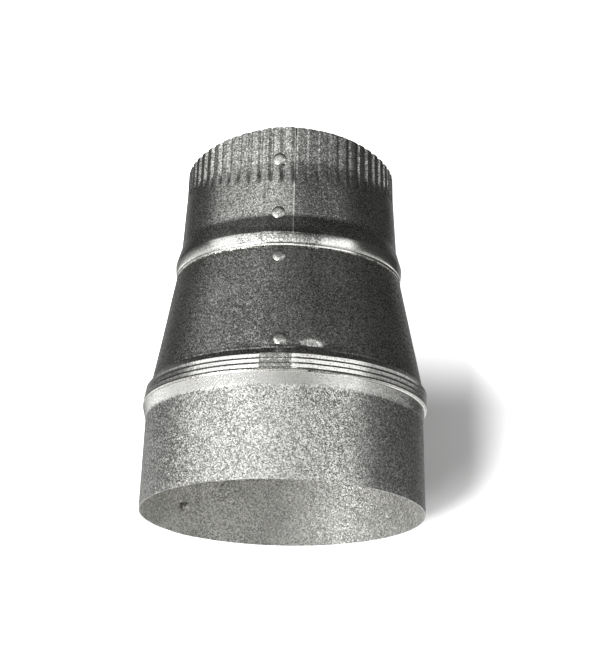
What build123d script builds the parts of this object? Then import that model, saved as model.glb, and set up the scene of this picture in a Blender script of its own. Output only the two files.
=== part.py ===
from build123d import *
from math import atan2, cos, degrees, radians, tan
import os

# A sheet-steel duct reducer: a large plain collar, a taper and a small crimped collar.
# Each is a strip of galvanised sheet, rolled up, lapped and riveted. The pieces are joined
# end to end by rolled lock joints, in which the upper piece's skirt grips the lower one.
# Millimetres. The large mouth stands on z = 0 and the axis is Z.
# An azimuth is in degrees from the front (-Y), positive towards +X.

# Sheet
sheet = 0.5               # thickness of the galvanised sheet
seam_gap = 0.05           # air between two lapped or nested sheets

# Radii of the outer faces, each from the wide end of its piece inwards
mouth_r = 64.95           # large mouth
mouth_ease = 1.3          # how far the mouth is eased open, to slip over a duct
shoulder_out = 1.35       # from the large collar's neck out to its shoulder
lip_proud = 0.15          # from that shoulder out to the lower lip
skirt_draw = 0.9          # from the lower lip in to the top of the taper's skirt
skirt_flare = 1.75        # from there in to the foot of the taper's wall
band_r = 50.4             # small collar just above its bead
bead_out = 2.2            # from that band out to the bead
upper_lip_in = 0.05       # from the bead in to the upper lip
head_in = 0.25            # from the upper lip in to the head of the taper's wall
crimp_in = 2.0            # from the band in to the crests of the crimps

# Heights along the axis
mouth_lip = 1.5           # straight edge of the large mouth
large_height = 48.8       # from the large mouth to the lower lip
skirt_height = 7.1        # height of the taper's skirt
skirt_flare_height = 2.8  # from that skirt to the foot of the taper's wall
taper_height = 61.1       # from the lower lip to the upper lip
ring_height = 1.2         # rolled ring along the upper lip
bead_height = 6.5         # from the upper lip to the top of the bead
bead_flare_height = 8.2   # from the bead to the plain band
band_height = 16.1        # plain band, up to the crimps
crimp_draw_height = 10.5  # over which the crimps narrow the wall
small_height = 52.2       # from the upper lip to the small mouth
rim_peak = 6.5            # how far the small mouth rises at the seam

# Rolled ridges and grooves
shoulder_height = 5.9     # bulge of the large collar under the lower lip
shoulder_gap = 0.9        # shadow gap between that shoulder and the lip
ridge_count = 3
ridge_depth = 0.3
ring_groove = 0.35        # groove above the ring of the upper lip
tuck_share = 0.6          # how far up a flare the nested edge reaches
lip_clearance = 0.5       # between a lip and the edge that dips under it

# Crimps
crimp_count = 58
crimp_depth = 0.8
crimp_flank = 60.0        # half the angle of a crimp's V
crimp_run_out = 4.5       # length over which a crimp fades into the wall
crimp_first = -4.2        # azimuth of the crimp beside the seam
root_rise = 5.8           # how much shorter the crimps are at the sides and back

# Lap seams: azimuth of the outer sheet's edge, and the lap in degrees
small_edge = 2.0
small_lap = 14.4
taper_edge = -10.4
taper_lap = 19.0
large_edge = -127.5
large_lap = 12.2
joggle = 2.0              # over which a sheet steps out over its other end
edge_gap = 0.2            # between the inner edge and the joggle

# Blind rivets: the low one of each lap is placed from its sheet's lower edge, the high one from
# the edge above it, and both by their distance in from the lap's edge
large_rivet_low = 13.0        # up from the large mouth
large_rivet_high = 12.8       # down from the lower lip
large_rivet_inset = 6.9
taper_rivet_low = 14.7        # up from the lower lip
taper_rivet_low_inset = 7.5
taper_rivet_high = 5.1        # down from the upper lip
taper_rivet_high_inset = 5.2
small_rivet_low = 16.3        # up from the upper lip
small_rivet_high = 9.5        # down from the small mouth
small_rivet_inset = 6.9
rivet_d = 3.2
rivet_hole_gap = 0.1
rivet_head_d = 6.0
rivet_head_height = 1.0
rivet_bulb_d = 4.4
rivet_bulb_length = 1.7
rivet_seat_gap = 0.06     # between the wall's inner face and the spread end
mandrel_d = 1.8
mandrel_gap = 0.02
mandrel_head_d = 2.8
mandrel_head_height = 0.9
mandrel_recess = 0.1      # how far the broken stem lies below the head's crown

# Places worked out from the sizes
step_out = sheet + seam_gap
neck_r = mouth_r - mouth_ease
shoulder_r = neck_r + shoulder_out
lower_lip_r = shoulder_r + lip_proud
skirt_top_r = lower_lip_r - skirt_draw
taper_large_r = skirt_top_r - skirt_flare
bead_r = band_r + bead_out
upper_lip_r = bead_r - upper_lip_in
taper_small_r = upper_lip_r - head_in
crimp_r = band_r - crimp_in
lower_lip_z = large_height
skirt_top_z = lower_lip_z + skirt_height
taper_foot_z = skirt_top_z + skirt_flare_height
upper_lip_z = lower_lip_z + taper_height
taper_head_z = upper_lip_z - lip_clearance
bead_top_z = upper_lip_z + bead_height
band_z = bead_top_z + bead_flare_height
crimp_z = band_z + band_height
crimp_crest_z = crimp_z + crimp_draw_height
small_mouth_z = upper_lip_z + small_height
shoulder_z = lower_lip_z - shoulder_gap
rivet_seat = 2 * sheet + seam_gap + rivet_seat_gap
tool_spare = 10 * sheet   # how far a cutting tool reaches past its work


def outward(start, end):
    """Unit vector square to a stretch of a profile, on its outer side."""
    along = (Vector(*end) - Vector(*start)).normalized()
    return Vector(along.Y, -along.X)


def parallel(line, distance):
    """A profile moved sideways with mitred corners, outwards where the distance is positive."""
    moved = []
    for i, point in enumerate(line):
        before = outward(line[max(i - 1, 0)], line[max(i, 1)])
        after = outward(line[min(i, len(line) - 2)], line[min(i + 1, len(line) - 1)])
        mitre = (before + after) * (1 / (1 + before.dot(after)))
        corner = Vector(*point) + mitre * distance
        moved.append((corner.X, corner.Y))
    return moved


def between(start, end, share):
    """Point at a share of the way from one point to another."""
    return tuple(a + (b - a) * share for a, b in zip(start, end))


def profile_face(outline):
    """Face in the plane of radius and height."""
    return Plane.XZ * make_face(Polyline(*outline, close=True))


def sheet_section(line, lift=0.0):
    """Section of the sheet whose outer face follows a line, lifted off that face by a distance."""
    outer = parallel(line, lift)
    inner = parallel(line, lift - sheet)
    return profile_face(outer + inner[::-1])


def at_azimuth(shape, azimuth):
    """Turn a shape from the XZ plane to an azimuth."""
    return Rot(0, 0, azimuth - 90) * shape


def turned(section, start, sweep):
    """Revolve a section from one azimuth through an angle."""
    return at_azimuth(revolve(section, Axis.Z, sweep), start)


def rolled_strip(line, flap_line, outer_edge, lap, side):
    """A strip rolled up with its ends lapped, as its main turn and its raised flap.

    The flap ends at outer_edge and comes from lower azimuths where side is 1, from higher ones
    where side is -1. The strip's inner edge lies under the flap, one lap back from its edge.
    """
    inner_edge = outer_edge - side * lap
    joggle_top = inner_edge - side * edge_gap
    joggle_foot = joggle_top - side * joggle
    main_sweep = 360 - joggle - edge_gap
    flap_sweep = lap + edge_gap
    main_start = inner_edge if side > 0 else joggle_foot
    flap_start = joggle_top if side > 0 else outer_edge
    main = turned(sheet_section(line), main_start, main_sweep)
    flap = turned(sheet_section(flap_line, step_out), flap_start, flap_sweep)
    low = at_azimuth(sheet_section(flap_line), joggle_foot)
    high = at_azimuth(sheet_section(flap_line, step_out), joggle_top)
    step = loft([low, high], ruled=True)
    return main, flap, step


def ridges(start, end):
    """Points of the rolled ridges between two points of a profile."""
    points = []
    for i in range(ridge_count):
        valley = between(start, end, (i + 0.5) / ridge_count)
        points.append((valley[0] - ridge_depth, valley[1]))
        points.append(between(start, end, (i + 1) / ridge_count))
    return points


def lower_skirt_line():
    """Outer face of the taper's skirt, from its lip up."""
    lip = (lower_lip_r, lower_lip_z)
    return [lip, *ridges(lip, (skirt_top_r, skirt_top_z))]


def upper_skirt_line():
    """Outer face of the small collar's skirt and bead, from its lip up."""
    return [
        (upper_lip_r, upper_lip_z),
        (upper_lip_r, upper_lip_z + ring_height - ring_groove),
        (upper_lip_r - ring_groove, upper_lip_z + ring_height),
        (bead_r, upper_lip_z + ring_height + ring_groove),
        (bead_r, bead_top_z),
    ]


def nested_line(skirt_line, flare_end):
    """Outer face of the lower piece's edge, where it lies inside a skirt."""
    reach = between(skirt_line[-1], flare_end, tuck_share)
    return parallel([*skirt_line, reach], -step_out)


def large_wall():
    """Outer face of the large collar's plain wall."""
    return [(mouth_r, mouth_lip), (neck_r, shoulder_z - shoulder_height)]


def taper_wall():
    """Outer face of the taper's straight wall."""
    return [(taper_large_r, taper_foot_z), (taper_small_r, taper_head_z)]


def large_collar():
    """Plain collar: eased mouth, shoulder under the lip, and an edge nested in the skirt."""
    wall = [(mouth_r, 0), *large_wall(), (shoulder_r, shoulder_z)]
    nested = nested_line(lower_skirt_line(), (taper_large_r, taper_foot_z))
    tuck = (nested[0][0], lower_lip_z - lip_clearance)
    main, flap, step = rolled_strip([*wall, tuck, *nested], wall, large_edge, large_lap, 1)
    return main + step + flap


def taper_cone():
    """Taper: a ridged skirt over the large collar, a straight wall, and a nested head."""
    wall = [*lower_skirt_line(), *taper_wall()]
    nested = nested_line(upper_skirt_line(), (band_r, band_z))
    main, flap, step = rolled_strip([*wall, *nested], wall, taper_edge, taper_lap, -1)
    return main + step + flap


def small_collar_line():
    """Outer face of the small collar, from its lip to above its mouth."""
    return [
        *upper_skirt_line(),
        (band_r, band_z),
        (band_r - crimp_in / 2, crimp_z),
        (crimp_r, crimp_crest_z),
        (crimp_r, small_mouth_z + rim_peak + sheet),
    ]


def wall_radius(line, z):
    """Radius of a profile at a height."""
    for (r0, z0), (r1, z1) in zip(line, line[1:]):
        if z0 <= z <= z1:
            return r0 + (r1 - r0) * (z - z0) / (z1 - z0)
    return line[-1][0]


def frontness(azimuth):
    """1 at the seam, falling to 0 at the sides and over the whole back."""
    return max(cos(radians(azimuth)), 0) ** 2


def crimp_tool(azimuth, shift):
    """V-shaped bar along one crimp, fading into the wall at its root.

    Its keel stands crimp_depth inside the crests, moved out by shift.
    """
    root_z = crimp_z + root_rise * (1 - frontness(azimuth))
    root_r = wall_radius(small_collar_line(), root_z) + shift
    keel_r = crimp_r - crimp_depth + shift
    keel_z = root_z + crimp_run_out
    reach = 2.5 * crimp_depth
    half_width = reach * tan(radians(crimp_flank))
    outline = Polyline((keel_r, 0), (keel_r + reach, half_width), (keel_r + reach, -half_width), close=True)
    wedge = Pos(0, 0, keel_z) * make_face(outline)
    bar = extrude(wedge, small_mouth_z + rim_peak + tool_spare - keel_z)
    run_out = Vector(root_r - keel_r, 0, root_z - keel_z)
    tail = extrude(wedge, 1.5 * run_out.length, dir=run_out.normalized())
    return at_azimuth(bar + tail, azimuth)


def crimped(layer, azimuths, shift):
    """Press crimps into one layer of the small collar, through its whole thickness."""
    line = parallel(small_collar_line(), shift - sheet / 2)
    core = [(0, line[0][1]), *line, (0, line[-1][1])]
    inside = revolve(profile_face(core), Axis.Z, 360)
    pressed_in = [crimp_tool(azimuth, shift - sheet) & inside for azimuth in azimuths]
    cut_out = [crimp_tool(azimuth, shift) for azimuth in azimuths]
    return (layer + pressed_in) - cut_out


def rim_trim():
    """Block above the small mouth: level at the back, and an arc that rises to the seam in front."""
    arc_r = (crimp_r ** 2 + rim_peak ** 2) / (2 * rim_peak)
    rise = Pos(0, small_mouth_z + arc_r) * Circle(arc_r)
    reach = crimp_r + rim_peak + tool_spare
    above = Pos(0, small_mouth_z + reach) * Rectangle(2 * reach, 2 * reach)
    behind = Pos(reach / 2, small_mouth_z + reach) * Rectangle(reach, 2 * reach)
    profile = (above & rise) + behind
    return extrude(Plane.YZ * profile, reach, both=True)


def small_collar():
    """Crimped collar: a skirt over the taper's head, a bead, a plain band and the crimps."""
    line = small_collar_line()
    main, flap, step = rolled_strip(line, line, small_edge, small_lap, 1)
    pitch = 360 / crimp_count
    around = [crimp_first + pitch * i for i in range(crimp_count)]
    on_flap = [crimp_first - pitch, crimp_first]
    collar = crimped(main, around, 0) + step + crimped(flap, on_flap, step_out)
    return collar - rim_trim()


def rivet_place(line, azimuth, z):
    """Where a rivet sits on a lap: on the flap's outer face, X outwards and square to the wall."""
    for start, end in zip(line, line[1:]):
        if start[1] <= z <= end[1]:
            slope = outward(start, end)
    r = wall_radius(line, z) + step_out / slope.X
    tilt = degrees(atan2(slope.Y, slope.X))
    return Rot(0, 0, azimuth - 90) * Pos(r, 0, z) * Rot(0, -tilt, 0)


def around_x(outline):
    """Revolve a profile of distance along X and radius about the X axis."""
    return revolve(make_face(outline), Axis.X, 360)


def rivet_blank():
    """Set blind rivet: spherical head, shank and spread blind end, bored for its mandrel."""
    bore = (mandrel_d + mandrel_gap) / 2
    head_r = rivet_head_d / 2
    dome_r = (head_r ** 2 + rivet_head_height ** 2) / (2 * rivet_head_height)
    centre = rivet_head_height - dome_r
    rim = (0, head_r)
    crown = (centre + (dome_r ** 2 - bore ** 2) ** 0.5, bore)
    shoulder = (centre + (dome_r ** 2 - rivet_d ** 2 / 4) ** 0.5, rivet_d / 2)
    dome = ThreePointArc(crown, shoulder, rim)
    blind_end = -rivet_seat - rivet_bulb_length
    edges = Polyline(
        rim,
        (0, rivet_d / 2),
        (-rivet_seat, rivet_d / 2),
        (-rivet_seat, rivet_bulb_d / 2),
        (blind_end, rivet_bulb_d / 2),
        (blind_end, bore),
        crown,
    )
    return around_x([dome, *edges.edges()])


def mandrel():
    """Broken mandrel that stays in a rivet: its stem, and its head against the blind end."""
    seat = -rivet_seat - rivet_bulb_length
    stem = Polyline(
        (rivet_head_height - mandrel_recess, 0),
        (rivet_head_height - mandrel_recess, mandrel_d / 2),
        (seat, mandrel_d / 2),
        (seat, mandrel_head_d / 2),
        (seat - mandrel_head_height, mandrel_head_d / 2),
        (seat - mandrel_head_height, 0),
        close=True,
    )
    return around_x(stem)


def rivet_spots(line, edge, side, places):
    """Where the rivets of one lap sit, from their heights and their distances in from its edge."""
    spots = []
    for z, inset in places:
        azimuth = edge - side * degrees(inset / wall_radius(line, z))
        spots.append(rivet_place(line, azimuth, z))
    return spots


def riveted(piece, spots):
    """Drill a piece at its rivets, and form each rivet against the crimps that it spans."""
    drill = Rot(0, 90, 0) * Cylinder((rivet_d + rivet_hole_gap) / 2, tool_spare)
    drilled = piece - [spot * drill for spot in spots]
    rivets = []
    for spot in spots:
        formed = spot * rivet_blank() - drilled
        rivets.append(formed.solids().sort_by(SortBy.VOLUME)[-1])
    return drilled, rivets, [spot * mandrel() for spot in spots]


def main():
    os.makedirs("parts", exist_ok=True)
    large_places = [
        (large_rivet_low, large_rivet_inset),
        (lower_lip_z - large_rivet_high, large_rivet_inset),
    ]
    taper_places = [
        (lower_lip_z + taper_rivet_low, taper_rivet_low_inset),
        (upper_lip_z - taper_rivet_high, taper_rivet_high_inset),
    ]
    small_places = [
        (upper_lip_z + small_rivet_low, small_rivet_inset),
        (small_mouth_z - small_rivet_high, small_rivet_inset),
    ]
    pieces = {}
    rivets = []
    mandrels = []
    for name, piece, spots in (
        ("large_collar", large_collar(), rivet_spots(large_wall(), large_edge, 1, large_places)),
        ("taper_cone", taper_cone(), rivet_spots(taper_wall(), taper_edge, -1, taper_places)),
        ("small_collar", small_collar(), rivet_spots(small_collar_line(), small_edge, 1, small_places)),
    ):
        pieces[name], set_rivets, stems = riveted(piece, spots)
        rivets += set_rivets
        mandrels += stems
    pieces["seam_rivets"] = Compound(rivets)
    pieces["rivet_mandrels"] = Compound(mandrels)
    for name, piece in pieces.items():
        export_step(piece, f"parts/{name}.step")
        print(name, len(piece.solids()), "solids", round(piece.volume, 1), "mm3")


main()
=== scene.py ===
# %% [markdown]
# # A duct reducer from three rolled sheets
#
# A duct reducer joins a wide round duct to a narrow one. This one is three strips of galvanised
# sheet steel, each rolled up, lapped and riveted, and locked end to end by rolled joints. The
# lesson builds the three strips, the rivets and the finish, and then lights them.
#
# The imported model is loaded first. It is the measuring frame: every piece made here goes where
# the frame has it.

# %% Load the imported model
from math import atan2, cos, pi, radians, sin, tan

import bpy
import numpy as np
from mathutils import Matrix, Vector


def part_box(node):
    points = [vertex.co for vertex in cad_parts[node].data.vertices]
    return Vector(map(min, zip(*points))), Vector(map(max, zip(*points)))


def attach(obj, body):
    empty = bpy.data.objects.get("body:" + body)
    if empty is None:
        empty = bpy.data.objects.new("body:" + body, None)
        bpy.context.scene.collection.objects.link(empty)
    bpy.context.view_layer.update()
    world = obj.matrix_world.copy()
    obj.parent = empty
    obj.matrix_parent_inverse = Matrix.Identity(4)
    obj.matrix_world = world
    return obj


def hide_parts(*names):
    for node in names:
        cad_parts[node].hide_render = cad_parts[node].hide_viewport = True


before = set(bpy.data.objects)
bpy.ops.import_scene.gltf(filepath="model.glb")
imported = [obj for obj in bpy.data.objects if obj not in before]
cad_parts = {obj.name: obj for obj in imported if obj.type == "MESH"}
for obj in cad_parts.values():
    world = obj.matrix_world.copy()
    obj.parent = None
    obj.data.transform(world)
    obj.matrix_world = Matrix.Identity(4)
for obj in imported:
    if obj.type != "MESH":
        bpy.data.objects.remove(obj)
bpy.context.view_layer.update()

print("packed nodes:", sorted(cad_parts))

# %% [markdown]
# ## Sizes
#
# Sheet metal is thought of in millimetres, so the script works in millimetres and turns them into
# metres when a mesh is made. The outer radii and the heights of the two lips are read from the
# frame. The smaller steps between them are what a sheet-metal worker would set on the rolls.
#
# An azimuth is an angle round the axis, in degrees from the front, positive towards +X.

# %% Radii and heights of the three strips
mm = 0.001

sheet = 0.5
seam_gap = 0.05
step_out = sheet + seam_gap

shoulder_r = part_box("large_collar")[1].x / mm
lower_lip_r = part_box("taper_cone")[1].x / mm
bead_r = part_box("small_collar")[1].x / mm
lower_lip_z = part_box("taper_cone")[0].z / mm
upper_lip_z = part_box("small_collar")[0].z / mm

neck_r = shoulder_r - 1.35
mouth_r = neck_r + 1.3
skirt_top_r = lower_lip_r - 0.55
taper_large_r = skirt_top_r - 2.1
upper_lip_r = bead_r - 0.05
taper_small_r = upper_lip_r - 0.25
band_r = bead_r - 2.2
crimp_root_r = band_r - 1.0
crimp_r = band_r - 2.0
crimp_crest_r = crimp_r + 0.3

mouth_lip = 1.5
lip_clearance = 0.5
shoulder_z = lower_lip_z - 0.9
shoulder_foot_z = shoulder_z - 5.9
skirt_top_z = lower_lip_z + 7.1
taper_foot_z = skirt_top_z + 2.8
taper_head_z = upper_lip_z - lip_clearance
ring_z = upper_lip_z + 1.2
bead_top_z = upper_lip_z + 6.5
band_z = bead_top_z + 8.2
crimp_z = band_z + 16.1
crimp_crest_z = crimp_z + 10.5
small_mouth_z = upper_lip_z + 52.2
rim_peak = 6.5
print(f"large collar {2 * mouth_r:.1f} mm across, small collar {2 * crimp_r:.1f} mm across")

# %% [markdown]
# ## Outlines
#
# Each strip is one outline carried round the axis. An outline is written as its corners, as a
# worker would mark it out: radius and height. Rolls never leave a sharp corner in sheet metal, so
# the corners are eased by averaging the outline with itself over a short length.

# %% Helpers for outlines
def parallel(corners, distance):
    """An outline moved sideways by a distance, outwards where it is positive.

    Each corner moves along the sum of the unit normals of its two edges, divided by one plus
    their dot product, which keeps both edges parallel to themselves.
    """
    corners = np.asarray(corners, float)
    along = np.diff(corners, axis=0)
    along /= np.linalg.norm(along, axis=1, keepdims=True)
    normal = np.stack([along[:, 1], -along[:, 0]], 1)
    before = np.vstack([normal[:1], normal])
    after = np.vstack([normal, normal[-1:]])
    spread = 1 + np.sum(before * after, axis=1, keepdims=True)
    return corners + distance * (before + after) / spread


def eased(corners, softness, fine=0.05):
    """Closely spaced points along an outline whose corners are eased.

    The outline is sampled evenly along its length and averaged with a bell-shaped weight as wide
    as the softness. Past each end it is continued by its own mirror image through the end point,
    so the two ends stay where they are.
    """
    corners = np.asarray(corners, float)
    marks = np.r_[0, np.cumsum(np.linalg.norm(np.diff(corners, axis=0), axis=1))]
    s = np.linspace(0, marks[-1], int(marks[-1] / fine) + 1)
    points = np.stack([np.interp(s, marks, corners[:, k]) for k in (0, 1)], 1)
    half = max(int(softness / fine / 2), 1)
    weight = np.hanning(2 * half + 3)[1:-1]
    weight /= weight.sum()
    head = 2 * points[0] - points[half:0:-1]
    tail = 2 * points[-1] - points[-2:-half - 2:-1]
    padded = np.concatenate([head, points, tail])
    return np.stack([np.convolve(padded[:, k], weight, "valid") for k in (0, 1)], 1)


def rows_along(points, longest, turn, dense):
    """Rows picked from an outline: close together at its bends, far apart where it is straight.

    The picks are evenly spaced in the running sum of length over the longest step and bend over
    the turn that one step may take. dense is a lowest height, a highest height and the longest
    step between them. Returns places, outward normals and lengths along the outline.
    """
    along = np.gradient(points, axis=0)
    step = np.linalg.norm(along, axis=1)
    heading = np.unwrap(np.arctan2(along[:, 1], along[:, 0]))
    low, high, shorter = dense
    is_dense = (points[:, 1] > low) & (points[:, 1] < high)
    reach = np.where(is_dense, shorter, longest)
    cost = np.cumsum(step / reach + np.abs(np.gradient(heading)) / radians(turn))
    cost -= cost[0]
    picks = np.linspace(0, cost[-1], int(cost[-1]) + 2)
    place = np.stack([np.interp(picks, cost, points[:, k]) for k in (0, 1)], 1)
    angle = np.interp(picks, cost, heading)
    length = np.interp(picks, cost, np.cumsum(step) - step[0])
    return place, np.stack([np.sin(angle), -np.cos(angle)], 1), length


# %% The outlines of the three strips
ridge_count = 3
ridge_depth = 0.3
groove_place = 0.3
ring_groove = 0.35
ring_curl = 0.12
bead_crown = 0.12
tuck_share = 0.6


def groove(share):
    """Depth of the skirt's grooves, from 0 to 1, at a share of the way up it.

    Between two ridges it dips quickly to the groove's place and rises slowly from there.
    """
    return np.interp(share * ridge_count % 1, [0, groove_place, 1], [0, 1, 0])


def skirt_line(depth):
    """Outer face of the taper's skirt: a slant with evenly spaced grooves of a depth."""
    share = (np.arange(ridge_count)[:, None] + [0, groove_place]).ravel() / ridge_count
    share = np.append(share, 1.0)
    r = lower_lip_r + (skirt_top_r - lower_lip_r) * share - depth * groove(share)
    return np.stack([r, lower_lip_z + (skirt_top_z - lower_lip_z) * share], 1)


upper_skirt = np.array([
    (upper_lip_r - ring_curl, upper_lip_z),
    (upper_lip_r, ring_z - ring_groove),
    (upper_lip_r - ring_groove, ring_z),
    (bead_r - bead_crown, ring_z + ring_groove),
    (bead_r, (ring_z + bead_top_z) / 2),
    (bead_r - bead_crown / 2, bead_top_z),
])


def nested(skirt, flare_end):
    """The edge that lies inside a skirt: the skirt and part of its flare, one sheet further in."""
    reach = skirt[-1] + (np.array(flare_end) - skirt[-1]) * tuck_share
    return parallel([*skirt, reach], -step_out)


large_wall = [
    (mouth_r, 0),
    (mouth_r, mouth_lip),
    (neck_r, shoulder_foot_z),
    (shoulder_r, shoulder_z),
]
lower_nested = nested(skirt_line(ridge_depth), (taper_large_r, taper_foot_z))
tuck = (lower_nested[0][0], lower_lip_z - lip_clearance)
large_line = [*large_wall, tuck, *lower_nested]

taper_wall = [
    *skirt_line(ridge_depth),
    (taper_large_r, taper_foot_z),
    (taper_small_r, taper_head_z),
]
taper_line = [*taper_wall, *nested(upper_skirt, (band_r, band_z))]

small_line = [
    *upper_skirt,
    (band_r, band_z),
    (crimp_root_r, crimp_z),
    (crimp_crest_r, crimp_crest_z),
    (crimp_r, small_mouth_z),
]
print("corners:", len(large_line), len(taper_line), len(small_line))

# %% [markdown]
# ## Unevenness
#
# Sheet that has been through rolls is never truly round. It is out by a tenth of a millimetre or
# two, in long soft waves, and that is what makes its reflections swim. A few cosines whose number
# of waves round the axis is a whole number make waves that close on themselves. They only ever
# push inwards, so the piece stays inside its frame, and all three strips share them, so nested
# sheets keep their air gap.
#
# The taper isn't set quite true on the large collar either: it and what it carries lean a little
# to the right. Handling has left a dent at the foot of the taper, and a few shallow marks.

# %% Waves, lean and dents
lean_right = 0.85
lean_start_z, lean_full_z = 47, 59
lean_back = 0.5
back_start_z, back_full_z = 60, 115

oval_wave = (0.085, 2, 0.7)  # millimetres, waves round the axis, phase
shorter_waves = (
    # millimetres, waves round the axis, phase, length up the axis, phase
    (0.045, 5, 2.1, 95, 0.4),
    (0.032, 9, 0.3, 61, 1.9),
    (0.020, 14, 4.0, 43, 0.8),
    (0.011, 23, 1.2, 29, 2.6),
)
sum_of_waves = 0.193


def smooth_step(x):
    """0 below 0, 1 above 1 and 3x^2 - 2x^3 between."""
    x = np.clip(x, 0, 1)
    return x * x * (3 - 2 * x)


def lean(z):
    """Sideways shift in millimetres at a height: it grows over the skirt and shrinks above it."""
    to_right = smooth_step((z - lean_start_z) / (lean_full_z - lean_start_z))
    returned = smooth_step((z - back_start_z) / (back_full_z - back_start_z))
    return lean_right * to_right - lean_back * returned


def waves(azimuth, z):
    """Push in millimetres: an oval and four cosines of azimuth, each times a cosine of height.

    The sum of their sizes is taken off, so that the push is never outwards.
    """
    a = np.radians(azimuth)
    size, number, phase = oval_wave
    total = size * np.cos(number * a + phase)
    for size, number, phase, length, phase_up in shorter_waves:
        total = total + size * np.cos(number * a + phase) * np.cos(2 * pi * z / length + phase_up)
    return total - sum_of_waves


def turn_from(azimuth, centre):
    """Azimuth measured from a centre, between -180 and 180 degrees."""
    return (azimuth - centre + 180) % 360 - 180


def hollow(azimuth, z, centre, height, wide, tall, depth):
    """Inward push of one dent: a bell curve across and up, with its centre at a place."""
    across = radians(1) * turn_from(azimuth, centre) * (taper_large_r / wide)
    return -depth * np.exp(-across ** 2 - ((z - height) / tall) ** 2)


def hollows(azimuth, z, places, total=0):
    """The pushes of several dents, added to a total."""
    for place in places:
        total = total + hollow(azimuth, z, *place)
    return total


def swell(azimuth, height, centre, half):
    """A move by a height at an azimuth: a bell curve with a half width in degrees."""
    return height * np.exp(-(turn_from(azimuth, centre) / half) ** 2)


print(f"waves at the front: {waves(0.0, 20.0):.2f} mm, on the right: {waves(90.0, 20.0):.2f} mm")

# %% [markdown]
# ## From a grid to a shell of sheet
#
# A strip is a grid: one parameter runs round the axis and the other up the outline. To give it
# its thickness, a second grid is laid one sheet further in, its faces are turned round, and the
# open edges of the two are joined by a narrow band. That closes the shell. The edges of that band
# are marked sharp, because a cut sheet has a crisp edge.

# %% Meshes from arrays
def make_mesh(name, points, faces, uv=None, sharp=None, slots=None):
    """A mesh object from points in millimetres and face arrays, one array per number of sides.

    uv is each point's place on the flat sheet, sharp lists the crisp edges by their two points,
    and slots gives the number of each face's material.
    """
    used, renumbered = np.unique(np.concatenate([f.ravel() for f in faces]), return_inverse=True)
    sides = np.concatenate([np.full(len(f), f.shape[1]) for f in faces])
    starts = np.r_[0, np.cumsum(sides)[:-1]]
    mesh = bpy.data.meshes.new(name)
    mesh.vertices.add(len(used))
    mesh.vertices.foreach_set("co", (points[used] * mm).astype(np.float32).ravel())
    mesh.loops.add(len(renumbered))
    mesh.loops.foreach_set("vertex_index", renumbered.astype(np.int32))
    mesh.polygons.add(len(sides))
    mesh.polygons.foreach_set("loop_start", starts.astype(np.int32))
    mesh.polygons.foreach_set("use_smooth", np.ones(len(sides), bool))
    if slots is not None:
        mesh.polygons.foreach_set("material_index", slots.astype(np.int32))
    mesh.update(calc_edges=True)
    if uv is not None:
        layer = mesh.uv_layers.new(name="sheet")
        layer.data.foreach_set("uv", (uv[used][renumbered] * mm).astype(np.float32).ravel())
    if sharp is not None:
        ends = np.empty(len(mesh.edges) * 2, np.int32)
        mesh.edges.foreach_get("vertices", ends)
        ends = np.sort(used[ends.reshape(-1, 2)], axis=1)
        crisp = np.isin(ends @ [len(points), 1], np.sort(sharp, axis=1) @ [len(points), 1])
        mesh.attributes.new("sharp_edge", "BOOLEAN", "EDGE").data.foreach_set("value", crisp)
    piece = bpy.data.objects.new(name, mesh)
    bpy.context.collection.objects.link(piece)
    return piece


def shell(name, outer, inward, keep, uv):
    """A closed shell one sheet thick from a grid of places on its outer face.

    Each kept cell becomes an outer and an inner face. An edge that only one kept cell has is open,
    and gets a face that joins the two sides. The inner faces take the piece's second material.
    """
    across, up = outer.shape[:2]
    index = np.arange(across * up).reshape(across, up)
    cells = np.stack([index[:-1, :-1], index[1:, :-1], index[1:, 1:], index[:-1, 1:]], -1)[keep]
    count = across * up
    start = cells.ravel()
    end = np.roll(cells, -1, axis=1).ravel()
    is_open = ~np.isin(start * count + end, end * count + start)
    start, end = start[is_open], end[is_open]
    band = np.stack([end, start, start + count, end + count], 1)
    points = np.concatenate([outer.reshape(-1, 3), (outer + inward * sheet).reshape(-1, 3)])
    faces = np.concatenate([cells, cells[:, ::-1] + count, band])
    sharp = np.concatenate([np.stack([start, end], 1), np.stack([start, end], 1) + count])
    slots = np.zeros(len(faces))
    slots[len(cells):2 * len(cells)] = 1
    piece = make_mesh(name, points, [faces], np.concatenate([uv.reshape(-1, 2)] * 2), sharp, slots)
    print(f"{name}: {across} by {up} places, {2 * len(faces)} triangles")
    return piece


# %% [markdown]
# ## A rolled strip
#
# The strip starts at its inner edge, goes once round the axis, steps out over its own start (the
# joggle) and ends as a flap on top of it. Following the strip by the angle from its inner edge
# makes all of that one grid. Where the flap has no nested edge, its cells are left out.

# %% The strip function
edge_gap = 0.2           # degrees from the inner edge to the joggle
corner_softness = 0.7    # millimetres
row_spacing = 3.2        # millimetres
turn_per_row = 8         # degrees
column_spacing = 1.6     # degrees, as the three below
least_spacing = 0.09
step_margin = 0.6
edge_columns = np.array([0.3, 0.6, 0.9, 1.3, 2.0])
step_columns = 15


def thinned(angles, least):
    """Sorted angles, without those that come too close after the one before."""
    angles = np.unique(np.round(angles, 4))
    return angles[np.insert(np.diff(angles) > least, 0, True)]


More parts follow.
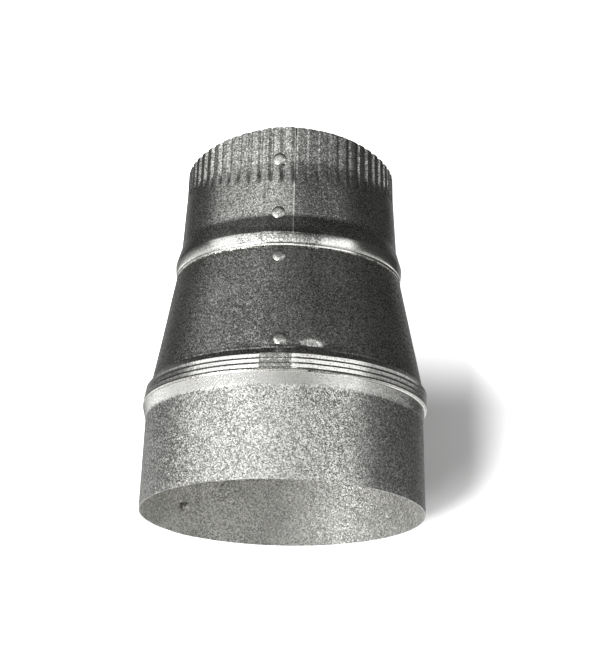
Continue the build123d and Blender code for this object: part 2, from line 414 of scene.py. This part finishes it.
def rolled(name, line, wall_end_z, outer_edge, lap, side, push, dense, extra=(), joggle=2.0):
    """A strip rolled round the axis with its ends lapped.

    side is 1 where the flap is reached by turning towards +X and -1 for the other way. push is a
    function of azimuth, height and angle left to the flap's edge that gives a move straight out
    from the axis, and may change heights. The flap keeps only the outline below wall_end_z.
    dense is as in rows_along, extra is more angles from the inner edge that get a column of
    places, and joggle is how many degrees the step takes.
    """
    eased_line = eased(line, corner_softness)
    place, normal, length = rows_along(eased_line, row_spacing, turn_per_row, dense)
    whole = 360 + lap
    step_foot = 360 - edge_gap - joggle
    step_head = step_foot + joggle
    at_step = np.linspace(step_foot - step_margin, step_head + step_margin, step_columns)
    at_edge = whole - edge_columns
    evenly = np.arange(0, whole, column_spacing)
    along = thinned(np.r_[evenly, at_step, at_edge, extra, whole], least_spacing)
    azimuth = (outer_edge - side * lap) + side * along
    if side < 0:
        along, azimuth = along[::-1], azimuth[::-1]
    lift = step_out * smooth_step((along - step_foot) / joggle)
    a, s = np.meshgrid(azimuth, length, indexing="ij")
    moved, z = push(a, np.broadcast_to(place[:, 1], a.shape), (whole - along)[:, None])
    r = place[:, 0] + lift[:, None] * normal[:, 0] + moved
    z = z + lift[:, None] * normal[:, 1]
    turn = np.radians(a)
    outer = np.stack([r * np.sin(turn) + lean(z), -r * np.cos(turn), z], -1)
    inward = -np.stack([
        normal[:, 0] * np.sin(turn),
        -normal[:, 0] * np.cos(turn),
        normal[:, 1] + 0 * turn,
    ], -1)
    on_flap = np.maximum(along[1:], along[:-1]) > step_foot + 1e-6
    past_wall = place[1:, 1] > wall_end_z
    keep = ~(on_flap[:, None] & past_wall[None, :])
    return shell(name, outer, inward, keep, np.stack([turn * place[:, 0], s], -1))


# %% [markdown]
# ## The large collar
#
# A plain strip with its mouth eased open to slip over a duct. A shoulder bulges under the lip of
# the taper, less on the right, where the taper's lip overhangs it. Above it the edge dips inside
# the taper's skirt, where it takes the same rolled ridges. Its lap is at the back left.

# %% Large collar
large_edge = -127.5
large_lap = 12.2
shoulder_fade = 0.8
large_marks = (
    # azimuth, height, half width, half tallness, depth
    (-38, 21, 9, 5, 0.07),
    (27, 33, 7, 6, 0.06),
)


def large_push(azimuth, z, to_edge):
    """The shared waves, two shallow marks, and a shoulder that fades to the right."""
    bulge = np.interp(z, [shoulder_foot_z, shoulder_z, lower_lip_z - lip_clearance], [0, 1, 0])
    faded = shoulder_fade * bulge * smooth_step(np.sin(np.radians(azimuth)))
    return waves(azimuth, z) + hollows(azimuth, z, large_marks) - faded, z


large_piece = rolled(
    "large_collar_sheet", large_line, wall_end_z=shoulder_z, outer_edge=large_edge,
    lap=large_lap, side=1, push=large_push, dense=(shoulder_foot_z - 1, shoulder_z, 0.8),
)

# %% [markdown]
# ## The taper
#
# The skirt at its foot grips the large collar's edge with three rolled ridges. They are pressed
# flatter where four layers of sheet meet at the lap. The outer sheet of the lap ends left of the
# front, and the crease right of it is where that sheet steps down to the inner one. Beside the
# crease the wall is flatter than a true cone, and a dent sits at its foot.

# %% Taper
taper_edge = -10.4
taper_lap = 19.0
taper_joggle = 6.0
flat_skirt_right = 3.6
flat_skirt_blur = 1.2
groove_fill = 0.95
skirt_proud, proud_fade = 0.45, 1.5
wall_rise = 4
flap_lift = 0.30
flap_spring = 4.0
taper_swells = (
    # height, azimuth, half width: flats on both sides of the lap, and the crease
    (-0.30, 17.5, 6.0),
    (-0.16, -17, 5.0),
    (0.06, 10.0, 0.6),
)
fold_height, fold_above_foot, fold_half = 0.07, 0.9, 0.55
dent = (9.9, 60.0, 4.4, 2.0, 1.4)  # azimuth, height, half width, half tallness, depth
dent_foot_z, dent_foot_blur, dent_top_z = 58.2, 1.5, 64
dent_reach, dent_columns = 7, 29
taper_marks = (
    # as the dent
    (-2.9, 60.3, 1.3, 0.9, 0.25),
    (-41, 78, 8, 9, 0.09),
)

rolled_skirt = eased(skirt_line(ridge_depth), corner_softness)
skirt_share = (rolled_skirt[:, 1] - lower_lip_z) / (skirt_top_z - lower_lip_z)
groove_left = lower_lip_r + (skirt_top_r - lower_lip_r) * skirt_share - rolled_skirt[:, 0]


def taper_push(azimuth, z, to_edge):
    """Waves, flats beside the lap, the flattened ridges, the raised fold at the foot and dents.

    On the lap, most of each groove's depth is filled again, and the four layers stand proud
    towards the skirt's top. The flap's edge stands up a little, by a height that halves every few
    degrees.
    """
    beside = np.abs(turn_from(azimuth, (taper_edge + flat_skirt_right) / 2))
    on_lap = 1 - smooth_step((beside - (flat_skirt_right - taper_edge) / 2) / flat_skirt_blur)
    share = np.clip((z - lower_lip_z) / (skirt_top_z - lower_lip_z), 0, 1)
    proud = skirt_proud * share * (1 - smooth_step((z - skirt_top_z) / proud_fade))
    filled = (groove_fill * np.interp(share, skirt_share, groove_left) + proud) * on_lap
    wall = smooth_step((z - taper_foot_z) / wall_rise)
    flats = sum(swell(azimuth, *place) for place in taper_swells)
    flats = flats + flap_lift * np.exp(-to_edge / flap_spring)
    fold = fold_height * np.exp(-((z - taper_foot_z - fold_above_foot) / fold_half) ** 2)
    pressed = hollow(azimuth, z, *dent) * smooth_step((z - dent_foot_z) / dent_foot_blur)
    dents = hollows(azimuth, z, taper_marks, pressed)
    return waves(azimuth, z) + filled + wall * flats + fold + dents, z


near_dent = np.linspace(dent[0] - dent_reach, dent[0] + dent_reach, dent_columns)
taper_extra = (taper_edge + taper_lap - near_dent) % 360
taper_piece = rolled(
    "taper_cone_sheet", taper_line, wall_end_z=taper_head_z, outer_edge=taper_edge,
    lap=taper_lap, side=-1, push=taper_push, dense=(skirt_top_z - 1, dent_top_z, 0.35),
    extra=taper_extra, joggle=taper_joggle,
)

# %% [markdown]
# ## The small collar and its crimps
#
# The skirt at its foot is a rolled ring and a round bead that grips the taper. The top is crimped,
# so that it slips into the next duct: 58 V-shaped grooves pressed in from outside, each fading
# into the wall at its root. A groove is a function of the distance from its centre line, times a
# step of the height. The collar was cut with its seam side higher than its back, so the rim is
# worked out from the azimuth too.

# %% Small collar
small_edge = 2.0
small_lap = 14.4
crimp_count = 58
crimp_first = -4.2
crimp_depth = 0.8
crimp_half = crimp_depth * tan(radians(60))
crimp_skew = 0.25
crimp_sharp, crimp_soft = 0.45, 0.55
crimp_run_out = 6.5
root_rise = 5.8
pitch = 360 / crimp_count

weak_share = 0.65
weak_from, weak_rise = 3, 4
weak_to, weak_fall = 50, 16
seam_flat = (-0.12, 11, 6.0)  # height, azimuth, half width
seam_ridge, seam_spread = 0.45, 6.0
ridge_above_bead, ridge_rise = 1, 8
flap_flare, flap_flare_width = 0.12, 0.9
fuller_bead, plain_bead_half, bead_fade = 0.3, 16, 14


def rim_height(azimuth):
    """Height of the rim: level at the back, and a circle's arc that rises to the seam in front."""
    arc_r = (crimp_r ** 2 + rim_peak ** 2) / (2 * rim_peak)
    ahead = np.maximum(crimp_r * np.cos(np.radians(azimuth)), 0)
    return small_mouth_z + arc_r - np.sqrt(arc_r ** 2 - ahead ** 2)


def crimps(azimuth, z):
    """Inward push of the crimps: a softened V of the distance from the nearest centre line.

    The V's left flank is wider than its right one, and just right of the seam it is shallower.
    """
    azimuth = turn_from(azimuth, 0)
    centre = crimp_first + pitch * np.round((azimuth - crimp_first) / pitch)
    across = (azimuth - centre) * radians(1) * crimp_r / crimp_half
    across = np.where(across < 0, -across / (1 + crimp_skew), across / (1 - crimp_skew))
    front = np.maximum(np.cos(np.radians(centre)), 0) ** 2
    root = crimp_z + root_rise * (1 - front)
    vee = np.clip(1 - across, 0, 1)
    past_seam = smooth_step((centre - weak_from) / weak_rise)
    pressed = 1 - weak_share * past_seam * smooth_step((weak_to - centre) / weak_fall)
    depth = crimp_depth * pressed * smooth_step((z - root) / crimp_run_out)
    return -depth * (crimp_sharp * vee + crimp_soft * smooth_step(vee))


def small_wall(azimuth, z):
    """Waves, a flat on the right, and the ridge at the seam, where both ends stay flat."""
    flat = swell(azimuth, *seam_flat)
    ridge = seam_ridge * np.exp(-np.abs(turn_from(azimuth, small_edge)) / seam_spread)
    above = smooth_step((z - bead_top_z - ridge_above_bead) / ridge_rise)
    return waves(azimuth, z) + flat + ridge * above


def small_push(azimuth, z, to_edge):
    """The wall, its crimps, the flap's flared edge and a bead that is fuller away from the seam.

    The top is stretched to the rim.
    """
    longer = (rim_height(azimuth) - crimp_crest_z) / (small_mouth_z - crimp_crest_z)
    stretched = np.where(z > crimp_crest_z, crimp_crest_z + (z - crimp_crest_z) * longer, z)
    flared = flap_flare * smooth_step(1 - to_edge / flap_flare_width)
    away = smooth_step((np.abs(turn_from(azimuth, small_edge)) - plain_bead_half) / bead_fade)
    fuller = fuller_bead * away * np.interp(z, [ring_z, bead_top_z, band_z], [0, 1, 0])
    return small_wall(azimuth, stretched) + crimps(azimuth, stretched) + flared + fuller, stretched


crimp_marks = np.array([
    # millimetres from a crimp's centre line, each with a column of places
    -2.1, -1.73, -1.4, -1.05, -0.7, -0.35, 0, 0.25, 0.5, 0.78, 1.04, 1.4, 2.62,
])
crimp_turns = np.degrees(crimp_marks / crimp_r)
around = (crimp_first + pitch * np.arange(crimp_count)[:, None] + crimp_turns[None, :]).ravel()
small_extra = (around - (small_edge - small_lap)) % 360
small_extra = np.r_[small_extra, small_extra[small_extra < small_lap] + 360]
small_piece = rolled(
    "small_collar_sheet", small_line, wall_end_z=small_mouth_z + rim_peak,
    outer_edge=small_edge, lap=small_lap, side=1, push=small_push,
    dense=(crimp_z - 1, crimp_z + root_rise + crimp_run_out, 1.0), extra=small_extra,
)

# %% [markdown]
# ## Blind rivets
#
# Two blind rivets hold each lap: a shallow domed head outside, a spread blind end inside, and the
# broken mandrel left in the bore. Each is a short outline turned about its own axis, and the six
# places are stacked as matrices, so that all six are made in one go.

# %% Rivet places
def wall_at(line, z):
    """Radius and slope of an outline at a height."""
    line = np.asarray(line, float)
    k = np.searchsorted(line[:, 1], z) - 1
    (r0, z0), (r1, z1) = line[k], line[k + 1]
    return r0 + (r1 - r0) * (z - z0) / (z1 - z0), atan2(r0 - r1, z1 - z0)


def rivet_place(line, edge, side, z, inset, shape=waves):
    """Matrix that puts a rivet along the wall's normal, its seat on the flap's outer face."""
    r, tilt = wall_at(line, z)
    azimuth = radians(edge) - side * inset / r
    out = Vector((sin(azimuth) * cos(tilt), -cos(azimuth) * cos(tilt), sin(tilt)))
    beside = Vector((cos(azimuth), sin(azimuth), 0))
    seat = Vector((sin(azimuth), -cos(azimuth), 0)) * r + Vector((0, 0, z))
    seat += out * (step_out + shape(azimuth / radians(1), z)) + Vector((lean(z), 0, 0))
    turned = Matrix((out, beside, out.cross(beside))).transposed().to_4x4()
    return np.array(Matrix.Translation(seat) @ turned)


rivet_places = np.array([
    # outline, flap's edge, side, height, distance in from the edge
    rivet_place(large_line[:4], large_edge, 1, 13.0, 6.9),
    rivet_place(large_line[:4], large_edge, 1, 36.0, 6.9),
    rivet_place(taper_wall, taper_edge, -1, lower_lip_z + 14.7, 7.5),
    rivet_place(taper_wall, taper_edge, -1, lower_lip_z + 56.0, 5.2),
    rivet_place(small_line, small_edge, 1, upper_lip_z + 16.3, 6.9, small_wall),
    rivet_place(small_line, small_edge, 1, upper_lip_z + 42.7, 6.9, small_wall),
])
print("rivets at", np.round(rivet_places[:, :3, 3], 1).tolist())


# %% Rivets and mandrels
def turned_pieces(name, outline, closed, turns=40):
    """An outline of distance along an axis and radius, turned about it, at every rivet place.

    A closed outline is joined end to end. An open one starts and ends on the axis, where its end
    rows shrink to one point and its faces are triangles.
    """
    outline = np.asarray(outline, float)
    angle = 2 * pi * np.arange(turns) / turns
    x, r = outline[:, 0], outline[:, 1]
    ring = np.stack([
        np.broadcast_to(x, (turns, len(x))),
        np.cos(angle)[:, None] * r,
        np.sin(angle)[:, None] * r,
    ], -1)
    index = np.arange(turns * len(x)).reshape(turns, len(x))
    after = np.roll(index, -1, axis=0)
    if closed:
        up, after_up = np.roll(index, -1, axis=1), np.roll(after, -1, axis=1)
        faces = [np.stack([index, up, after_up, after], -1).reshape(-1, 4)]
    else:
        index[:, 0] = after[:, 0] = index[0, 0]
        index[:, -1] = after[:, -1] = index[0, -1]
        sides = np.stack([index[:, 1:-2], index[:, 2:-1], after[:, 2:-1], after[:, 1:-2]], -1)
        caps = [
            np.stack([index[:, 0], index[:, 1], after[:, 1]], -1),
            np.stack([index[:, -2], index[:, -1], after[:, -2]], -1),
        ]
        faces = [sides.reshape(-1, 4), np.concatenate(caps)]
    local = np.concatenate([ring.reshape(-1, 3), np.ones((turns * len(x), 1))], 1)
    points = np.einsum("kij,nj->kni", rivet_places, local)[..., :3].reshape(-1, 3)
    shift = np.arange(len(rivet_places))[:, None, None] * len(local)
    everywhere = [(f[None] + shift).reshape(-1, f.shape[1]) for f in faces]
    piece = make_mesh(name, points, everywhere)
    print(f"{name}: {len(rivet_places)} of {len(outline)} by {turns} places")
    return piece


rivet_head_r = 3.0
rivet_head_height = 0.85
rivet_shank_r = 1.6
rivet_seat = 2 * sheet + seam_gap + 0.06
rivet_bulb_r = 2.2
rivet_blind_end = rivet_seat + 1.7
bore_r = 0.91
mandrel_r = 0.9
mandrel_head_r = 1.4

dome_at = rivet_head_r * (1 - np.linspace(0.01, 0.82, 13) ** 2)
dome = np.stack([rivet_head_height * (1 - (dome_at / rivet_head_r) ** 5), dome_at], 1)
rivet_outline = np.array([
    *dome,
    (dome[-1, 0], bore_r + 0.02),
    (dome[-1, 0] - 0.02, bore_r),
    (-rivet_blind_end + 0.1, bore_r),
    (-rivet_blind_end, bore_r + 0.12),
    (-rivet_blind_end, mandrel_head_r + 0.1),
    (-rivet_blind_end + 0.25, rivet_bulb_r - 0.12),
    (-rivet_blind_end + 0.6, rivet_bulb_r),
    (-rivet_seat - 0.35, rivet_bulb_r),
    (-rivet_seat, rivet_bulb_r - 0.25),
    (-rivet_seat, rivet_shank_r),
    (0, rivet_shank_r),
    (0, rivet_head_r),
])
mandrel_outline = np.array([
    (rivet_head_height - 0.04, 0),
    (rivet_head_height - 0.03, 0.5),
    (rivet_head_height - 0.04, mandrel_r - 0.06),
    (rivet_head_height - 0.05, mandrel_r - 0.02),
    (rivet_head_height - 0.08, mandrel_r),
    (-rivet_blind_end - 0.001, mandrel_r),
    (-rivet_blind_end - 0.001, mandrel_head_r - 0.08),
    (-rivet_blind_end - 0.1, mandrel_head_r),
    (-rivet_blind_end - 0.75, mandrel_head_r - 0.05),
    (-rivet_blind_end - 0.9, mandrel_head_r - 0.3),
    (-rivet_blind_end - 0.9, 0),
])
rivet_piece = turned_pieces("blind_rivets", rivet_outline, closed=True)
mandrel_piece = turned_pieces("broken_mandrels", mandrel_outline[::-1], closed=False)

# %% [markdown]
# ## Galvanised steel
#
# Zinc freezes on steel as tiny crystals. Each has its own tone and lies a little differently, so
# that one flashes while its neighbour stays dark. At arm's length that reads as a lively grain,
# which is strong where the light is strong and faint in the shade. A Voronoi texture gives every
# crystal a random colour. It sets the crystal's tone and also tips the surface's normal.
#
# The rolls have pressed the crystals flat on the joints, so a band of heights is lighter and
# glossier, with fine lines round it. Where the layers of a lap lie under the rolls, the joint is
# duller. On the small collar a painted highlight runs up the flap's edge, and painted shade
# darkens the wall right of the seam. Lines and scratches follow the sheet, so they use the strip's
# own UV map, which is in metres along and across the strip.

# %% Helpers for materials
def new_material(name):
    """An empty node material: its tree, its Principled shader and the material."""
    material = bpy.data.materials.new(name)
    material.use_nodes = True
    tree = material.node_tree
    return material, tree, tree.nodes["Principled BSDF"]


def add(tree, kind, inputs=(), **settings):
    """A node with its settings and its inputs set, or linked where a socket is given."""
    made = tree.nodes.new(kind)
    for key, value in settings.items():
        setattr(made, key, value)
    for key, value in dict(inputs).items():
        if isinstance(value, bpy.types.NodeSocket):
            tree.links.new(value, made.inputs[key])
        else:
            made.inputs[key].default_value = value
    return made


def maths(tree, operation, *values):
    """The result of a Math node on numbers or sockets."""
    return add(tree, "ShaderNodeMath", dict(enumerate(values)), operation=operation).outputs[0]


def vector_maths(tree, operation, inputs):
    """The result of a Vector Math node."""
    return add(tree, "ShaderNodeVectorMath", inputs, operation=operation).outputs[0]


def plus(tree, total, value, weight):
    """A total with a value times a weight added to it."""
    return maths(tree, "ADD", total, maths(tree, "MULTIPLY", value, weight))


def mapped(tree, value, start, end, low=0, high=1, **settings):
    """A value mapped from one range to another, and held at the ends of it."""
    return add(tree, "ShaderNodeMapRange", {
        "Value": value, "From Min": start, "From Max": end, "To Min": low, "To Max": high,
    }, **settings).outputs[0]


def noise(tree, vector, scale, finer=2):
    """Noise from 0 to 1 over a vector, with a number of finer layers."""
    return add(tree, "ShaderNodeTexNoise", {
        "Vector": vector, "Scale": scale, "Detail": finer,
    }).outputs[0]


def grey_ramp(tree, value, stops):
    """A colour ramp over positions and colours."""
    ramp = add(tree, "ShaderNodeValToRGB", {"Fac": value})
    elements = ramp.color_ramp.elements
    while len(elements) < len(stops):
        elements.new(0.5)
    for element, (position, colour) in zip(elements, stops):
        element.position = position
        element.color = (*colour, 1)
    return ramp.outputs["Color"]


# %% The galvanised finish
crystals_per_metre = 2100
fine_per_metre = 3200
clouds_per_metre = 42
crystal_share, fine_share, cloud_share = 0.6, 0.4, 0.3
light_is_smoother = 0.12
scratch_turns = (31, -64)
scratch_grain, line_grain = (28, 1700), (9, 2400)  # per metre, along and across a mark
scratch_levels, line_levels = (0.70, 0.80), (0.3, 0.7)
bump_strength, bump_distance = 0.25, 0.00006
rolled_lighter, rolled_lines = 0.18, 0.25
rolled_smoother = 0.12
rolled_flatter = 0.6
dark_end, light_end = 0.28, 0.72
warm = (1.0, 0.995, 0.96)


def band_of(tree, height, low, high, blur=0.5):
    """1 between two places in millimetres and 0 outside, with soft ends."""
    rise = mapped(tree, height, (low - blur) * mm, (low + blur) * mm)
    fall = mapped(tree, height, (high - blur) * mm, (high + blur) * mm, 1, 0)
    return maths(tree, "MULTIPLY", rise, fall)


def streaks(tree, uv, along, across, turn, low, high):
    """Long thin marks on the sheet: stretched noise, cut off between two levels."""
    laid = add(tree, "ShaderNodeMapping", {"Vector": uv, "Rotation": (0, 0, radians(turn))})
    drawn = add(tree, "ShaderNodeMapping", {
        "Vector": laid.outputs[0], "Scale": (along, across, 1),
    })
    return mapped(tree, noise(tree, drawn.outputs[0], 1.0), low, high)


def galvanised(
    name, dark, light, roughness, tilt=0.26, rolled_band=None, scratches=0.0, patches=(),
):
    """Zinc-coated steel: crystals between a dark and a light grey, tipped by up to half the tilt.

    rolled_band is the lowest and the highest height that the rolls have burnished. A patch on the
    front is its left, right, lowest and highest place, the softness of its edge and its change of
    tone, which is down where the sheet is dull, down for painted shade and up for a painted
    highlight.
    """
    material, tree, shader = new_material(name)
    coordinate = add(tree, "ShaderNodeTexCoord").outputs
    place, uv = coordinate["Object"], coordinate["UV"]
    cells = add(tree, "ShaderNodeTexVoronoi", {"Vector": place, "Scale": crystals_per_metre})
    crystal = cells.outputs["Color"]
    flash = add(tree, "ShaderNodeSeparateColor", {"Color": crystal}).outputs[0]
    tone = maths(tree, "MULTIPLY", flash, crystal_share)
    tone = plus(tree, tone, noise(tree, place, fine_per_metre), fine_share)
    cloud = maths(tree, "SUBTRACT", noise(tree, place, clouds_per_metre, 3), 0.5)
    tone = plus(tree, tone, cloud, cloud_share)
    if scratches:
        for turn in scratch_turns:
            marks = streaks(tree, uv, *scratch_grain, turn, *scratch_levels)
            tone = plus(tree, tone, marks, scratches)
    rough = plus(tree, roughness + light_is_smoother / 2, tone, -light_is_smoother)
    tipped = tilt
    axes = add(tree, "ShaderNodeSeparateXYZ", {"Vector": place}).outputs
    if rolled_band:
        worked = band_of(tree, axes["Z"], *rolled_band)
        lines = streaks(tree, uv, *line_grain, 0, *line_levels)
        tone = plus(tree, tone, worked, plus(tree, rolled_lighter, lines, rolled_lines))
        rough = plus(tree, rough, worked, -rolled_smoother)
        tipped = maths(tree, "MULTIPLY_ADD", worked, -rolled_flatter * tilt, tilt)
    # Patches darken the dull laps, and paint a highlight and shade on the small collar's front.
    for left, right_side, low, high, blur, change in patches:
        within = maths(
            tree, "MULTIPLY",
            band_of(tree, axes["X"], left, right_side, blur),
            band_of(tree, axes["Z"], low, high, blur),
        )
        in_front = maths(tree, "MULTIPLY", within, maths(tree, "LESS_THAN", axes["Y"], 0))
        tone = plus(tree, tone, in_front, change)
    ends = [(dark_end, [dark * w for w in warm]), (light_end, [light * w for w in warm])]
    tree.links.new(grey_ramp(tree, tone, ends), shader.inputs["Base Color"])
    tree.links.new(rough, shader.inputs["Roughness"])
    bump = add(tree, "ShaderNodeBump", {
        "Height": tone, "Strength": bump_strength, "Distance": bump_distance,
    })
    tip = vector_maths(tree, "SUBTRACT", {0: crystal, 1: (0.5, 0.5, 0.5)})
    tip = vector_maths(tree, "SCALE", {0: tip, "Scale": tipped})
    turned = vector_maths(tree, "ADD", {0: bump.outputs[0], 1: tip})
    facing = vector_maths(tree, "NORMALIZE", {0: turned})
    tree.links.new(facing, shader.inputs["Normal"])
    shader.inputs["Metallic"].default_value = 1.0
    return material


past_the_top = 180
large_zinc = galvanised(
    "zinc_large_collar", 0.30, 1.00, 0.31, scratches=0.25,
    rolled_band=(shoulder_foot_z + 0.8, past_the_top),
)
taper_zinc = galvanised(
    "zinc_taper", 0.20, 0.95, 0.31, tilt=0.18, scratches=0.3,
    rolled_band=(lower_lip_z - 2, skirt_top_z + 0.6),
    patches=((-11.7, 2.5, lower_lip_z, skirt_top_z, 0.15, -0.5),),
)
small_zinc = galvanised(
    "zinc_small_collar", 0.22, 0.92, 0.27, tilt=0.09, scratches=0.15,
    rolled_band=(upper_lip_z - 2, bead_top_z + 0.6),
    patches=(
        (-23, 15, upper_lip_z + 1.5, bead_top_z + 0.6, 3.0, -0.4),
        (-4, 15, upper_lip_z + 1.5, bead_top_z + 0.6, 1.2, -0.15),
        # painted highlight: a light line up the flap's edge, where the seam catches the light
        (1.8, 2.2, bead_top_z, past_the_top, 0.1, 0.6),
        # painted shade: the wall right of the seam is a little darker
        (6, 34, bead_top_z + 4, past_the_top, 5.0, -0.13),
    ),
)
inner_zinc = galvanised("zinc_inside", 0.34, 1.0, 0.50)
rivet_zinc = galvanised("plated_rivet", 0.36, 0.90, 0.38, tilt=0.08)
mandrel_steel = galvanised("bare_mandrel", 0.60, 1.00, 0.32, tilt=0.08)

# %% Hand the pieces to the frame
finishes = (
    (large_piece, "large_collar", "galvanised_sheet", (large_zinc, inner_zinc)),
    (taper_piece, "taper_cone", "galvanised_sheet", (taper_zinc, inner_zinc)),
    (small_piece, "small_collar", "galvanised_sheet", (small_zinc, inner_zinc)),
    (rivet_piece, "seam_rivets", "rivet", (rivet_zinc,)),
    (mandrel_piece, "rivet_mandrels", "mandrel", (mandrel_steel,)),
)
for piece, node, slot, materials in finishes:
    for material in materials:
        piece.data.materials.append(material)
    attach(piece, "root")
    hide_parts(node)
print("pieces:", [piece.name for piece, *_ in finishes])

# %% [markdown]
# ## The camera
#
# The reducer is seen from a little below its large mouth, so that the inside of the mouth shows.
# The camera's place, its small roll and its long lens come from fitting a pinhole camera to the
# rims of the two collars. Its axes are written as a matrix: right, up and backwards.

# %% Camera
picture_height = 664
focal_pixels = 2159.7
camera_place = Vector((0, -950.7, -226.2)) * mm
look_up = radians(18.22)
look_aside = radians(0.42)
roll = radians(1.23)

forward = Vector((sin(look_aside) * cos(look_up), cos(look_aside) * cos(look_up), sin(look_up)))
level_right = forward.cross(Vector((0, 0, 1))).normalized()
level_up = level_right.cross(forward)
right = cos(roll) * level_right + sin(roll) * level_up
upwards = right.cross(forward)

lens = bpy.data.cameras.new("camera")
lens.sensor_width = 36
lens.lens = focal_pixels * lens.sensor_width / picture_height
camera = bpy.data.objects.new("camera", lens)
camera_turn = Matrix((right, upwards, -forward)).transposed().to_4x4()
camera.matrix_world = Matrix.Translation(camera_place) @ camera_turn
bpy.context.collection.objects.link(camera)
bpy.context.scene.camera = camera
print(f"lens {lens.lens:.1f} mm")

# %% [markdown]
# ## The studio
#
# Metal shows what stands round it, so the world does most of the lighting. It is drawn as a few
# soft panels, each a function of the direction alone: wide windows low in front and on the left,
# dimmer ones on the right, hardly any light overhead, and a pale background behind and below. The
# collars face the low panels and come out light. The taper leans back and faces the dark above
# them. The camera sees the background as plain white.
#
# A lamp from below, in front and to the left shines into the large mouth. Behind the reducer
# stands the pale table that it leans on, and a second lamp throws the shadow on it. Reflections
# leave that lamp out, so it doesn't add light to the zinc. Only the camera sees the table, and
# only its front, so it never hides the reducer from behind.

# %% World
def ramp_at(tree, value, edge, blur, rising=True):
    """Smooth step of a value across an edge, from 0 to 1 where it rises and from 1 to 0 if not."""
    ends = (0, 1) if rising else (1, 0)
    return mapped(tree, value, edge - blur, edge + blur, *ends, interpolation_type="SMOOTHSTEP")


def panel(tree, azimuth, elevation, left, right_side, low, high, blur_a, blur_e):
    """1 inside a patch of directions and 0 outside, with soft edges, in degrees."""
    across = maths(
        tree, "MULTIPLY",
        ramp_at(tree, azimuth, left, blur_a), ramp_at(tree, azimuth, right_side, blur_a, False),
    )
    up = maths(
        tree, "MULTIPLY",
        ramp_at(tree, elevation, low, blur_e), ramp_at(tree, elevation, high, blur_e, False),
    )
    return maths(tree, "MULTIPLY", across, up)


world = bpy.data.worlds.new("studio")
world.use_nodes = True
bpy.context.scene.world = world
tree = world.node_tree
direction = add(tree, "ShaderNodeTexCoord").outputs["Generated"]
axes = add(tree, "ShaderNodeSeparateXYZ", {"Vector": direction}).outputs
to_degrees = 180 / pi
heading = maths(tree, "ARCTAN2", axes["X"], maths(tree, "MULTIPLY", axes["Y"], -1))
azimuth = maths(tree, "MULTIPLY", heading, to_degrees)
aside = maths(tree, "ABSOLUTE", azimuth)
elevation = maths(tree, "MULTIPLY", maths(tree, "ARCSINE", axes["Z"]), to_degrees)

studio_lights = (
    # brightness, left, right, low, high, blur across, blur up
    (0.60, -82, -8, -40, 22, 10, 4),
    (0.36, -8, 68, -40, 20, 7, 4),
    (0.25, 32, 68, -40, 20, 6, 4),
    (0.60, -82, 66, 3, 22, 7, 4),
    (0.54, -45, 13, 8, 27, 7, 6),
    (0.66, -150, -82, -40, 15, 10, 5),
    (0.40, -90, -8, 22, 33, 10, 5),
    (0.06, -110, -20, 33, 55, 15, 8),
    (0.50, 72, 128, -45, 8, 8, 5),
)
background_lights = (
    # the same, with the azimuth counted to either side
    (0.70, 115, 400, -75, 4, 12, 5),
    (0.22, 150, 400, 0, 60, 12, 15),
)
dimmest = 0.04
total = dimmest
for turn, lights in ((azimuth, studio_lights), (aside, background_lights)):
    for brightness, *patch in lights:
        total = plus(tree, total, panel(tree, turn, elevation, *patch), brightness)
seen = add(tree, "ShaderNodeLightPath").outputs["Is Camera Ray"]
strength = maths(tree, "MAXIMUM", total, seen)
background = tree.nodes["Background"]
background.inputs["Color"].default_value = (1, 1, 1, 1)
tree.links.new(strength, background.inputs["Strength"])

# %% Table
table_y = 66.5
table_half = 900
table_grey = 0.82
glow_from_z, glow_to_z = 68, 114
glow_least = 0.03
corners = np.array([
    (-table_half, table_y, -table_half), (table_half, table_y, -table_half),
    (table_half, table_y, table_half), (-table_half, table_y, table_half),
], float)
table = make_mesh("table", corners, [np.array([[0, 1, 2, 3]])])

material, tree, shader = new_material("pale_table")
shader.inputs["Base Color"].default_value = (table_grey, table_grey, table_grey, 1)
shader.inputs["Roughness"].default_value = 0.9
shader.inputs["Emission Color"].default_value = (1, 1, 1, 1)
table_place = add(tree, "ShaderNodeTexCoord").outputs["Object"]
table_height = add(tree, "ShaderNodeSeparateXYZ", {"Vector": table_place}).outputs["Z"]
# Painted light: the table glows, more so higher up, so that the lamp's shadow on it fades towards
# the top.
glow = mapped(
    tree, table_height, glow_from_z * mm, glow_to_z * mm, glow_least, 1.0,
    interpolation_type="SMOOTHSTEP",
)
tree.links.new(glow, shader.inputs["Emission Strength"])
paths = add(tree, "ShaderNodeLightPath").outputs
facing_away = add(tree, "ShaderNodeNewGeometry").outputs["Backfacing"]
shown = maths(tree, "MULTIPLY", paths["Is Camera Ray"], maths(tree, "SUBTRACT", 1, facing_away))
clear = add(tree, "ShaderNodeBsdfTransparent")
mixed = add(tree, "ShaderNodeMixShader", {"Fac": shown, 1: clear.outputs[0], 2: shader.outputs[0]})
tree.links.new(mixed.outputs[0], tree.nodes["Material Output"].inputs["Surface"])
table.data.materials.append(material)

# %% Lamps
def soft_sun(name, azimuth, elevation, energy, angle):
    """A sun that shines from an azimuth and an elevation, as wide in the sky as the angle."""
    lamp = bpy.data.lights.new(name, "SUN")
    lamp.energy = energy
    lamp.angle = radians(angle)
    turn, lift = radians(azimuth), radians(elevation)
    shine_from = Vector((sin(turn) * cos(lift), -cos(turn) * cos(lift), sin(lift)))
    made = bpy.data.objects.new(name, lamp)
    made.matrix_world = shine_from.to_track_quat("Z", "Y").to_matrix().to_4x4()
    bpy.context.collection.objects.link(made)
    return made


soft_sun("low_lamp", azimuth=-52, elevation=-32, energy=3.2, angle=30)
shadow_lamp = soft_sun("shadow_lamp", azimuth=-26, elevation=-20, energy=4.0, angle=15)
shadow_lamp.visible_glossy = False

bpy.context.scene.view_settings.view_transform = "Standard"
